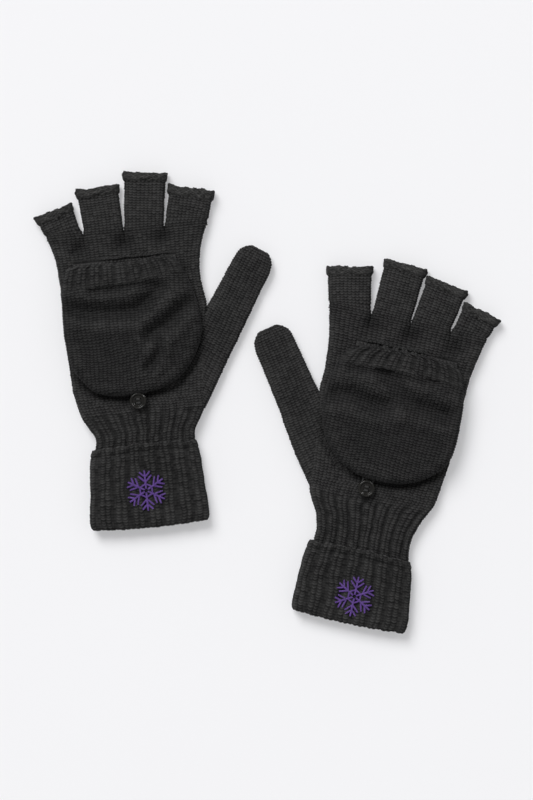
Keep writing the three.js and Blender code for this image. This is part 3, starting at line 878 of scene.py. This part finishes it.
def smooth_line(points, closed, step=0.8):
    """A rounded line through points, cut into even steps."""
    p = np.array(points, float)
    ring = np.concatenate([p[-1:], p, p[:2]]) if closed else np.concatenate([p[:1], p, p[-1:]])
    out = []
    t = np.linspace(0, 1, 12, endpoint=False)[:, None]
    for a, b, c, d in zip(ring[:-3], ring[1:-2], ring[2:-1], ring[3:]):
        out.append(0.5 * (2 * b + (c - a) * t + (2 * a - 5 * b + 4 * c - d) * t**2
                          + (3 * b - a - 3 * c + d) * t**3))
    line = np.concatenate([*out, ring[-2:-1] if not closed else out[0][:1]])
    return spread(line, int(lengths(line).sum() / step), True)


def distance(points, line):
    """Distance of points (n, 2) from a polyline, and the nearest place on it."""
    a, b = line[:-1], line[1:]
    best = np.full(len(points), 1e9)
    near = np.zeros_like(points)
    for start in range(0, len(points), 4000):
        p = points[start:start + 4000, None]
        t = ((p - a) * (b - a)).sum(2) / np.maximum(((b - a) ** 2).sum(1), 1e-12)
        q = a + np.clip(t, 0, 1)[..., None] * (b - a)
        d = np.linalg.norm(p - q, axis=2)
        k = d.argmin(1)
        best[start:start + 4000] = d[np.arange(len(k)), k]
        near[start:start + 4000] = q[np.arange(len(k)), k]
    return best, near


def inside_outline(points, ring):
    """Which points lie inside a closed polyline."""
    x, y = points[:, 0], points[:, 1]
    hit = np.zeros(len(points), bool)
    for (x0, y0), (x1, y1) in zip(ring[:-1], ring[1:]):
        if y0 != y1:
            cross = (y0 > y) != (y1 > y)
            hit ^= cross & (x < (x1 - x0) * (y - y0) / (y1 - y0) + x0)
    return hit


class Cap:
    """Shape of one cap: a flat pouch, full at the rim and creased across the top."""

    def __init__(self, mitten):
        self.mitten = mitten
        ring = smooth_line(CAP_OUTLINE[mitten.name], True)
        ripple = 0.3 * waves(ring[:, 0], ring[:, 1], 9, 63 + mitten.hand)
        self.ring = ring + ripple[:, None] * ring / np.linalg.norm(ring, axis=1, keepdims=True)
        self.folds = [(smooth_line(points, False, 1.5), width, depth)
                      for points, width, depth in FOLDS[mitten.name]]

    def depth_in(self, points):
        d, near = distance(points, self.ring)
        return np.where(inside_outline(points, self.ring), d, -d), near

    def top(self, points, d):
        x, y = points[:, 0], points[:, 1]
        z = CAP_RIM + (CAP_TOP - CAP_RIM) * rounded(d, 6.5)
        crown = 0.9 * lumps(x, y, 34, 61 + self.mitten.hand)
        lower = curve(x, BAND[self.mitten.name][1])
        crown = crown + 2.0 * ramp(y, lower + 0.3, lower + 4)
        for line, width, depth in self.folds:
            far, _ = distance(points, line)
            crown = crown + depth * bell(far, 0, width)
            crown = crown - 0.28 * depth * bell(far, 1.9 * width, 0.9 * width)
        return z - crown * np.clip(d / 6, 0, 1) ** 0.7

    def bottom(self, d):
        return CAP_RIM - (CAP_RIM - CAP_LOW) * rounded(d, 4.0)


def cap_lattice(cap):
    """A lattice of stitches over the cap, pulled on to its outline: points, rows, columns and the
    distance of each point inside the outline."""
    dx, dy = CAP_WALE / COLS, ROW
    lo, hi = cap.ring.min(0) - 1, cap.ring.max(0) + 1
    nx, ny = int((hi[0] - lo[0]) / dx) + 2, int((hi[1] - lo[1]) / dy) + 2
    jj, ii = np.meshgrid(np.arange(nx), np.arange(ny))
    points = np.stack([lo[0] + jj * dx, lo[1] + ii * dy], -1).reshape(-1, 2)
    d, near = cap.depth_in(points)
    snap = np.abs(d) < 0.55 * dx + 0.2
    points[snap], d[snap] = near[snap], 0
    drift = np.clip(d / 8, 0, 1)[:, None]
    shift = np.stack([waves(*points.T, 40, 65) + 0.4 * waves(*points.T, 11, 67),
                      1.5 * waves(*points.T, 44, 66) + 0.3 * waves(*points.T, 8, 68)], 1)
    return points + drift * shift * 0.8, ny, nx, d


def cap_sheets(mitten, cap):
    """Both faces of the cap on one lattice of stitches, cut along the outline."""
    points, ny, nx, d = cap_lattice(cap)
    keep = (d >= 0).reshape(ny, nx)
    cell = keep[:-1, :-1] & keep[1:, :-1] & keep[1:, 1:] & keep[:-1, 1:]
    d = np.maximum(d, 0)
    relief = knit_relief(ny, nx, 12) * STITCH
    faces, uv = grid_faces(ny, nx, False, False)
    faces, uv = faces[cell.ravel()], uv[cell.ravel()]
    used = np.unique(faces)
    where = np.full(ny * nx, -1)
    where[used] = np.arange(len(used))
    faces = where[faces]
    sheets, lights = [], []
    for z, way in ((cap.top(points, d), 1), (cap.bottom(d), -1)):
        P = np.column_stack([points, z]).reshape(ny, nx, 3)
        n = normals_of(P, False)
        n *= np.sign(n[..., 2:] + 1e-9) * way
        rim = np.clip(d / 1.5, 0, 1).reshape(ny, nx, 1)
        P = P + n * relief[..., None] * rim
        sheets.append(P.reshape(-1, 3)[used])
        # Painted shade: the cap's underside gets a fixed dark openness, the top's hollows and crests
        # get more contrast inside and less at the rim, and the whole cap is painted darker than the
        # hand.
        light = openness(P, False).reshape(-1)[used] if way > 0 else np.full(len(used), 0.4)
        lights.append(0.5 + 1.3 * (light - 0.5) * np.clip(d[used] / 6, 0.2, 1) - 0.46)
    flip = mitten.mirror < 0
    top, low = (faces[:, ::-1], faces) if flip else (faces, faces[:, ::-1])
    uv_top, uv_low = (uv[:, ::-1], uv) if flip else (uv, uv[:, ::-1])
    return (np.concatenate(sheets), np.concatenate([top, low + len(used)]),
            np.concatenate([uv_top, uv_low]), np.concatenate(lights))


def open_part(ring, mitten):
    """The cap's rim from one end of the mouth round the tip to the other."""
    mouth = 112 + mitten.hand
    below = ring[:, 1] < mouth
    start = np.where(below & ~np.roll(below, 1))[0]
    rolled = np.roll(ring[:-1], -int(start[0]), 0)
    return rolled[rolled[:, 1] < mouth]


def beaded_rim(mitten, cap):
    """The linked edge of the cap: a rolled cord of stitches standing a little proud."""
    line = open_part(cap.ring, mitten)
    pitch = 1.9
    line = spread(line, int(lengths(line).sum() / pitch) * 6, True)
    along = np.gradient(line, axis=0)
    along /= np.linalg.norm(along, axis=1, keepdims=True)
    out = np.stack([along[:, 1], -along[:, 0]], 1)
    centre = line.mean(0)
    if ((line[len(line) // 2] - centre) * out[len(line) // 2]).sum() < 0:
        out = -out
    angle = np.linspace(0, 2 * np.pi, 16, endpoint=False)
    bead = 0.5 - 0.5 * np.cos(np.arange(len(line)) / 6 * 2 * np.pi)
    bead = bead * (1 + 0.3 * waves(line[:, 0], line[:, 1], 7, 85))
    ends = np.clip(np.minimum(np.arange(len(line)), np.arange(len(line))[::-1]) / 40, 0.15, 1)
    radius = (1.0 + 0.4 * bead) * ends ** 0.5
    lean = np.cos(np.arange(len(line)) / 6 * 2 * np.pi) * 0.25
    P = np.empty((len(line), 16, 3))
    for k, a in enumerate(angle):
        r = radius * (1 + 0.15 * np.cos(a))
        reach = r * np.cos(a) - 1.05
        P[:, k, :2] = line + out * reach[:, None] + along * (lean * np.sin(a))[:, None]
        P[:, k, 2] = CAP_RIM - 0.4 + r * 1.15 * np.sin(a)
    quads, uv = grid_faces(len(line), 16, True, mitten.mirror > 0)
    uv = uv[..., ::-1] * np.array([1.0, 0.6])
    return P.reshape(-1, 3), quads, uv


def cap_pouch(mitten, cap):
    sheets = cap_sheets(mitten, cap)
    rim = beaded_rim(mitten, cap)
    verts = np.concatenate([sheets[0], rim[0]])
    faces = np.concatenate([sheets[1], rim[1] + len(sheets[0])])
    uv = np.concatenate([sheets[2], rim[2]])
    # Painted shade: the beaded rim gets a fixed low openness, so it is painted dark.
    light = np.concatenate([sheets[3], np.full(len(rim[0]), 0.25)])
    mitten.piece("cap", verts, faces, uv, "stockinette", "cap", ["cap_pouch"], light)


BAND = {                        # top and bottom edge of the ribbed band at the cap's mouth
    "left": ([(-44, 115.2), (-38, 116.8), (-12, 116.3), (10.5, 116.4), (27, 118.5), (34, 118.1),
              (38, 115)],
             [(-44, 101.2), (-36, 101), (-23, 101.6), (3, 103), (22, 105.4), (38, 106)]),
    "right": ([(-43, 123.5), (-40, 126.8), (-34, 129.4), (-15, 130.8), (10, 131), (24, 130.6),
               (34, 128.8), (41, 124.4)],
              [(-43, 114.4), (-36, 115.6), (-10, 117), (10, 117), (26, 115.6), (41, 114)]),
}
# The band's section, up its face and back inside: share of the height, mm along it and over it.
BAND_PATH = [
    (0, 1.2, -2.6), (0, 0.5, -1.2), (0, 0.2, -0.4), (0, 0.0, 0.5), (0.05, 0.3, 1.05), (0.3, 0, 1.3),
    (0.6, 0, 1.35), (0.9, 0, 1.3), (1, -0.6, 1.25), (1, 0.25, 0.7), (1, 0.5, -0.1),
    (1, 0.2, -0.9), (1, -0.9, -1.35), (0.8, 0, -1.5), (0.3, 0, -1.5),
]


def cap_sides(mitten, y):
    """Left and right edge of the cap beside its mouth."""
    outline = sorted(CAP_OUTLINE[mitten.name], key=lambda p: p[1])
    sides = [[(q, p) for p, q in outline if p * way > 25 and q > 85] for way in (-1, 1)]
    return [np.interp(y, *np.array(side).T) for side in sides]


def cap_band(mitten):
    """The ribbed band: up from its crease, rolled over at the mouth and back inside."""
    upper, lower = BAND[mitten.name]
    wales = int(round((upper[-1][0] - upper[0][0]) / BAND_WALE / 4)) * 4
    cols = wales * COLS + 1
    share = np.concatenate([[0], np.cumsum(rib_weights(cols - 1, 0.8))])
    share = share / share[-1]
    x = upper[0][0] + (upper[-1][0] - upper[0][0]) * share
    top, low = curve(x, upper), curve(x, lower)
    scale = np.array([13, 1, 1])
    line = spread(BAND_PATH * scale, 56, True) / scale
    rows = len(line)
    y = low + (top - low) * line[:, :1] + line[:, 1:2]
    left, right = cap_sides(mitten, y)
    X = left + 0.4 + (right - left - 0.8) * share
    edge = np.minimum(share, 1 - share) * (upper[-1][0] - upper[0][0])
    fall = rounded(edge + 0.3, 5.5)
    level = 14.2 + 2.6 * fall - 0.3 * (waves(x, x * 0, 30, 71 + mitten.hand) + 1)
    P = np.stack([X, y, level + line[:, 2:3] * (0.35 + 0.65 * fall)], -1)
    U, V = stitch_axes(rows, cols)
    relief = rib_profile(U) * RIB + rib_stitches(U, V) * STITCH * 0.9
    n = normals_of(P, False)
    n *= np.sign(n[rows // 3, cols // 2, 2])
    inner = ramp(np.arange(rows), rows * 0.72, rows * 0.85)[:, None]
    foot = bell(line[:, :1], 0, 0.12)
    P = P + n * (relief * (1 - 0.8 * inner) * (1 - 0.6 * foot))[..., None]
    P[..., 1] += 0.35 * rib_profile(U) * bell(line[:, :1], 1, 0.15)
    mitten.knit("cap_band", P, False, "rib", "cap", ["cap_hem"])


def cap_seam(mitten):
    """The row of linked loops that holds the cap, and the strip from it into the pouch."""
    y0 = 121.0 + mitten.hand
    x0, x1 = -37.5, 37.5
    cols = int((x1 - x0) / CAP_WALE) * 8 + 1
    x = np.linspace(x0, x1, cols)
    phase = (x - x0) / CAP_WALE * 2 * np.pi
    proper = np.repeat(np.random.default_rng(83).uniform(0.45, 1.1, cols // 8 + 1), 8)[:cols]
    bead = (0.5 - 0.5 * np.cos(phase)) ** 0.7 * proper
    drift = 0.5 * waves(x, x * 0, 21, 81 + mitten.hand)
    proud = 0.1 + 0.9 * ramp(x, -22, -10) * ramp(x, 34, 24)
    fall = np.clip(np.minimum(x - x0, x1 - x) / 3, 0.05, 1) * proud
    P = np.empty((9, cols, 3))
    for k, a in enumerate(np.linspace(0, np.pi, 9)):
        P[k, :, 0] = x + 0.35 * np.cos(a) * np.sin(phase)
        P[k, :, 1] = y0 + drift + 1.3 * np.cos(a) * (0.6 + 0.5 * bead) * fall ** 0.3
        P[k, :, 2] = 8.7 + 0.6 * proud + 1.4 * np.sin(a) * (0.4 + 0.7 * bead) * fall
    mitten.knit("cap_seam", P[::-1], False, "stockinette", "hand", ["cap_seam"], 0.1)
    rows = int(8 / ROW)
    y = np.linspace(y0 - 0.6, 113.0 + mitten.hand, rows)[:, None]
    cols = 28 * COLS + 1
    x = np.linspace(-36, 33, cols)[None, :]
    side = 1 - ramp(x, -24, -8) * ramp(x, 33, 22)
    z = 9.1 + (1.1 + 2.6 * side) * ramp(y, y0 - 1, y0 - 5)
    P = np.stack([x + 0 * y, y + 0 * x, z], -1)
    P[..., 2] += knit_relief(rows, cols, 14) * STITCH * 0.7
    mitten.knit("cap_bridge", P[::-1], False, "stockinette",
                ("cap", (0, y0, 9.4), (0, 117 + mitten.hand, 9.4)))


# ---- Button, thread, loop and tack ----

def rope(points, radius, sides, twist, plies, taper=0):
    """A round strand along points, with `plies` ridges winding `twist` turns over its length."""
    p = np.asarray(points, float)
    along = np.gradient(p, axis=0)
    along /= np.linalg.norm(along, axis=1, keepdims=True)
    side = np.cross(along, [0.0, 0.0, 1.0])
    weak = np.linalg.norm(side, axis=1) < 0.2
    side[weak] = np.cross(along[weak], [0.0, 1.0, 0.0])
    side /= np.linalg.norm(side, axis=1, keepdims=True)
    for k in range(1, len(side)):
        flat = side[k - 1] - along[k] * (side[k - 1] @ along[k])
        side[k] = flat / max(np.linalg.norm(flat), 1e-9)
    up = np.cross(side, along)
    a = np.linspace(0, 2 * np.pi, sides, endpoint=False)[None, :]
    s = np.linspace(0, 1, len(p))[:, None]
    r = radius * (1 + 0.16 * np.cos(plies * a - 2 * np.pi * twist * s))
    if taper:
        r = r * np.clip(np.minimum(s, 1 - s) * taper, 0.25, 1) ** 0.5
    return (p[:, None] + side[:, None] * (r * np.cos(a))[..., None]
            + up[:, None] * (r * np.sin(a))[..., None])


def join_grids(grids, flip):
    """Several closed grids as one set of points, faces and texture places."""
    verts, faces, uvs, base = [], [], [], 0
    for P in grids:
        rows, cols = P.shape[:2]
        quads, uv = grid_faces(rows, cols, True, flip)
        verts.append(P.reshape(-1, 3))
        faces.append(quads + base)
        uvs.append(uv)
        base += rows * cols
    return np.concatenate(verts), np.concatenate(faces), np.concatenate(uvs)


def ropes(mitten, part, strands, slot, body, nodes):
    verts, faces, uv = join_grids(strands, mitten.mirror > 0)
    mitten.piece(part, verts, faces, uv, slot, body, nodes)


HOLE_AT, HOLE_RADIUS = 1.3, 0.78    # the button's holes, from its middle
LOOP_HALF, LOOP_LEVEL = 3.2, 10.35  # half width and height of the elastic loop


def button(mitten, x, y):
    """A turned four-hole button with a rolled rim and a dished face."""
    profile = [(0.0, 11.45), (4.2, 11.45), (5.2, 11.75), (5.65, 12.3), (5.75, 13.0), (5.62, 13.65),
               (5.3, 14.1), (4.85, 14.3), (4.4, 14.22), (4.0, 13.9), (3.72, 13.5), (3.4, 13.3),
               (2.8, 13.36), (1.5, 13.42), (0.0, 13.42)]
    line = smooth_line(profile, False, 0.22)
    line[:, 0] = np.maximum(line[:, 0], 0.02)
    angle = np.linspace(0, 2 * np.pi, 72, endpoint=False)
    P = np.empty((len(line), 72, 3))
    P[..., 0] = x + line[:, :1] * np.cos(angle)
    P[..., 1] = y + line[:, :1] * np.sin(angle)
    P[..., 2] = line[:, 1:2]
    quads, uv = grid_faces(len(line), 72, True, mitten.mirror < 0)
    piece = mitten.piece("button_disc", P.reshape(-1, 3), quads, uv, "button_gloss",
                         "hand", ["button"])
    for dx in (-HOLE_AT, HOLE_AT):
        for dy in (-HOLE_AT, HOLE_AT):
            drill(piece, mitten.point(x + dx, y + dy, 12.9))


def drill(piece, place):
    """A rounded hole through the piece along Z."""
    bpy.ops.mesh.primitive_cylinder_add(vertices=20, radius=HOLE_RADIUS / 1000, depth=0.006,
                                        location=place)
    cutter = bpy.context.object
    modifier = piece.modifiers.new("hole", "BOOLEAN")
    modifier.object, modifier.operation, modifier.solver = cutter, "DIFFERENCE", "EXACT"
    bpy.context.view_layer.objects.active = piece
    bpy.ops.object.modifier_apply(modifier=modifier.name)
    bpy.data.objects.remove(cutter)


def arch(a, b, low, high, steps=9):
    """Points of a thread that comes up at a, crosses and goes down at b."""
    t = np.linspace(0, 1, steps)[:, None]
    flat = np.array(a) + (np.array(b) - np.array(a)) * smooth(t * 1.2 - 0.1)
    z = low + (high - low) * np.clip(np.sin(np.pi * t), 0, 1) ** 0.45
    return np.column_stack([flat, z])


def button_thread(mitten, x, y):
    """Strands through the holes over the button's face, and a wound shank beneath it."""
    r = np.random.default_rng(17)
    strands = []
    for dy in (-HOLE_AT, HOLE_AT):
        for k in range(3):
            off = (k - 1) * 0.42 + r.normal(0, 0.04)
            ends = (x - HOLE_AT, y + dy + off * 0.8), (x + HOLE_AT, y + dy + off)
            strands.append(rope(arch(*ends, 12.4, 13.98 + 0.12 * (k == 1)), 0.24, 7, 5, 2))
    t = np.linspace(0, 1, 150)
    turn = t * 2 * np.pi * 5
    width = 1.5 + 0.3 * np.cos(t * np.pi * 2)
    coil = np.column_stack([x + width * np.cos(turn), y + width * np.sin(turn), 9.5 + 1.75 * t])
    strands.append(rope(coil, 0.26, 7, 30, 2))
    ropes(mitten, "thread", strands, "sewing_thread", "hand", ["button_thread"])


def elastic_loop(mitten, x, y):
    """Round elastic from under the cap's tip about the shank."""
    t = np.linspace(0, np.pi, 26)
    bend = np.column_stack([x - LOOP_HALF * np.cos(t), y - LOOP_HALF * np.sin(t),
                            np.full(26, LOOP_LEVEL)])
    lead = np.linspace(6.5, 0.3, 12)
    left = np.column_stack([np.full(12, x - LOOP_HALF), y + lead,
                            LOOP_LEVEL + 0.25 * ramp(lead, 3, 7)])
    path = np.concatenate([left, bend, (left + [2 * LOOP_HALF, 0, 0])[::-1]])
    ropes(mitten, "loop_cord", [rope(path, 0.62, 12, 22, 3)], "elastic_cord", "cap",
          ["loop"])


def loop_tack(mitten, x, y):
    """Bar of wrapped thread that holds both ends of the loop to the tip of the cap."""
    strands = []
    r = np.random.default_rng(19)
    for k in np.linspace(-4.0, 4.0, 17):
        a = np.linspace(0, 2 * np.pi, 15)
        lean = r.normal(0, 0.08)
        ring = np.column_stack([x + k + lean * np.sin(a) + 0 * a, y - 0.35 + 0.72 * np.cos(a),
                                10.45 + 0.62 * np.sin(a)])
        strands.append(rope(ring, 0.25, 6, 2, 2))
    ropes(mitten, "tack", strands, "sewing_thread", "cap", ["loop_tack"])


# ---- Emblem ----

def satin(a, b, wide, z, r):
    """Satin stitches side by side along a bar from a to b."""
    a, b = np.array(a, float), np.array(b, float)
    length = np.linalg.norm(b - a)
    on = (b - a) / length
    side = np.array([-on[1], on[0]])
    strands = []
    for s in np.arange(0.15, length, 0.42):
        half = wide / 2 * (0.72 + 0.28 * math.sin(math.pi * min(1, s / length * 0.9 + 0.1)))
        half *= 1 + r.normal(0, 0.06)
        middle = a + on * (s + r.normal(0, 0.03))
        slant = on * half * 0.35
        ends = middle - side * half - slant, middle + side * half + slant
        strands.append(rope(arch(*ends, z, z + 0.7 + r.normal(0, 0.04), 6), 0.23, 6, 1, 2, 5))
    return strands


EMBLEM_AT, EMBLEM_ARM = (-2.3, -35.5), 13.6


def emblem(mitten):
    """A six-armed snowflake in satin stitch."""
    r = np.random.default_rng(23)
    centre = np.array(EMBLEM_AT)
    strands = []
    for arm in range(6):
        on, side = heading(-arm * math.pi / 3)
        next_on, _ = heading(-(arm + 1) * math.pi / 3)
        strands += satin(centre + on * 1.3, centre + on * EMBLEM_ARM, 1.25, 11.75, r)
        strands += satin(centre + on * 4.6, centre + next_on * 4.6, 0.9, 11.65, r)
        for at in (6.2, 9.6):
            reach = 5.2 * (1.5 - at / EMBLEM_ARM)
            for way in (-1, 1):
                start = centre + on * at + side * way * 0.6
                strands += satin(start, start + (on + side * way) * 0.707 * reach, 1.05, 11.7, r)
    ropes(mitten, "snowflake", strands, "embroidery", "hand", ["emblem"])


# ---- Stage, light and camera ----

def make_stage():
    """A pale paper sheet that glows a little, which keeps the shadows on it light."""
    lo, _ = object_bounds()
    bpy.ops.mesh.primitive_plane_add(size=14, location=(0, 0, lo.z - 0.0002))
    floor = bpy.context.object
    floor.name = "floor"
    n = Nodes("pale_paper")
    cloud = n.noise(n.place(), 3.0)
    floor.data.materials.append(n.set(
        Base_Color=n.colours(cloud, (0.56, 0.56, 0.571), (0.576, 0.576, 0.587)), Roughness=0.9,
        Specular_IOR_Level=0.0, Emission_Color=(0.98, 0.98, 1.0, 1), Emission_Strength=0.303))


def area_light(name, place, size, power):
    """A round light that faces the object."""
    data = bpy.data.lights.new(name, "AREA")
    data.shape, data.size, data.energy = "DISK", size, power
    light = bpy.data.objects.new(name, data)
    bpy.context.scene.collection.objects.link(light)
    light.location = place
    light.rotation_mode = "QUATERNION"
    light.rotation_quaternion = Vector(place).to_track_quat("Z", "Y")
    return light


def make_light():
    world = bpy.data.worlds.new("studio")
    bpy.context.scene.world = world
    world.use_nodes = True
    tree = world.node_tree
    sky = tree.nodes["Background"]
    sky.inputs[0].default_value = (1, 1, 1, 1)
    place = tree.nodes.new("ShaderNodeTexCoord")
    split = tree.nodes.new("ShaderNodeSeparateXYZ")
    level = tree.nodes.new("ShaderNodeMapRange")
    tree.links.new(place.outputs["Generated"], split.inputs[0])
    tree.links.new(split.outputs[2], level.inputs[0])
    for socket, number in zip(level.inputs[1:5], (0.15, 0.3, 0.86, 0.41)):
        socket.default_value = number
    tree.links.new(level.outputs[0], sky.inputs[1])
    area_light("window", (-6.5, 11.2, 13.5), 11.0, 3390)
    sparkle = area_light("sparkle", (1.3, 1.2, 1.7), 0.5, 40)
    sparkle.visible_diffuse = False


def make_camera():
    data = bpy.data.cameras.new("camera")
    camera = bpy.data.objects.new("camera", data)
    bpy.context.scene.collection.objects.link(camera)
    height, breadth = 2.2, 0.536    # of the camera over the table and of the picture on it
    camera.location = (-0.00063, 0.00153, height)
    data.sensor_width, data.lens = 36, 36 * height / breadth
    data.clip_end = 10
    bpy.context.scene.camera = camera


def make_mitten(name):
    mitten = Mitten(name)
    mitten.cap = Cap(mitten)
    hand_and_wrist(mitten)
    for finger in FINGERS:
        finger_tube(mitten, finger)
        finger_hem(mitten, finger)
    thumb(mitten)
    cuff(mitten)
    cap_pouch(mitten, mitten.cap)
    cap_band(mitten)
    cap_seam(mitten)
    x, y = mitten.side["button"], 24.5 + mitten.hand
    button(mitten, x, y)
    button_thread(mitten, x, y)
    elastic_loop(mitten, x, y)
    loop_tack(mitten, x, y + 7)
    emblem(mitten)


for which in ("left", "right"):
    make_mitten(which)
make_stage()
make_light()
make_camera()
bpy.context.scene.view_settings.view_transform = "Standard"
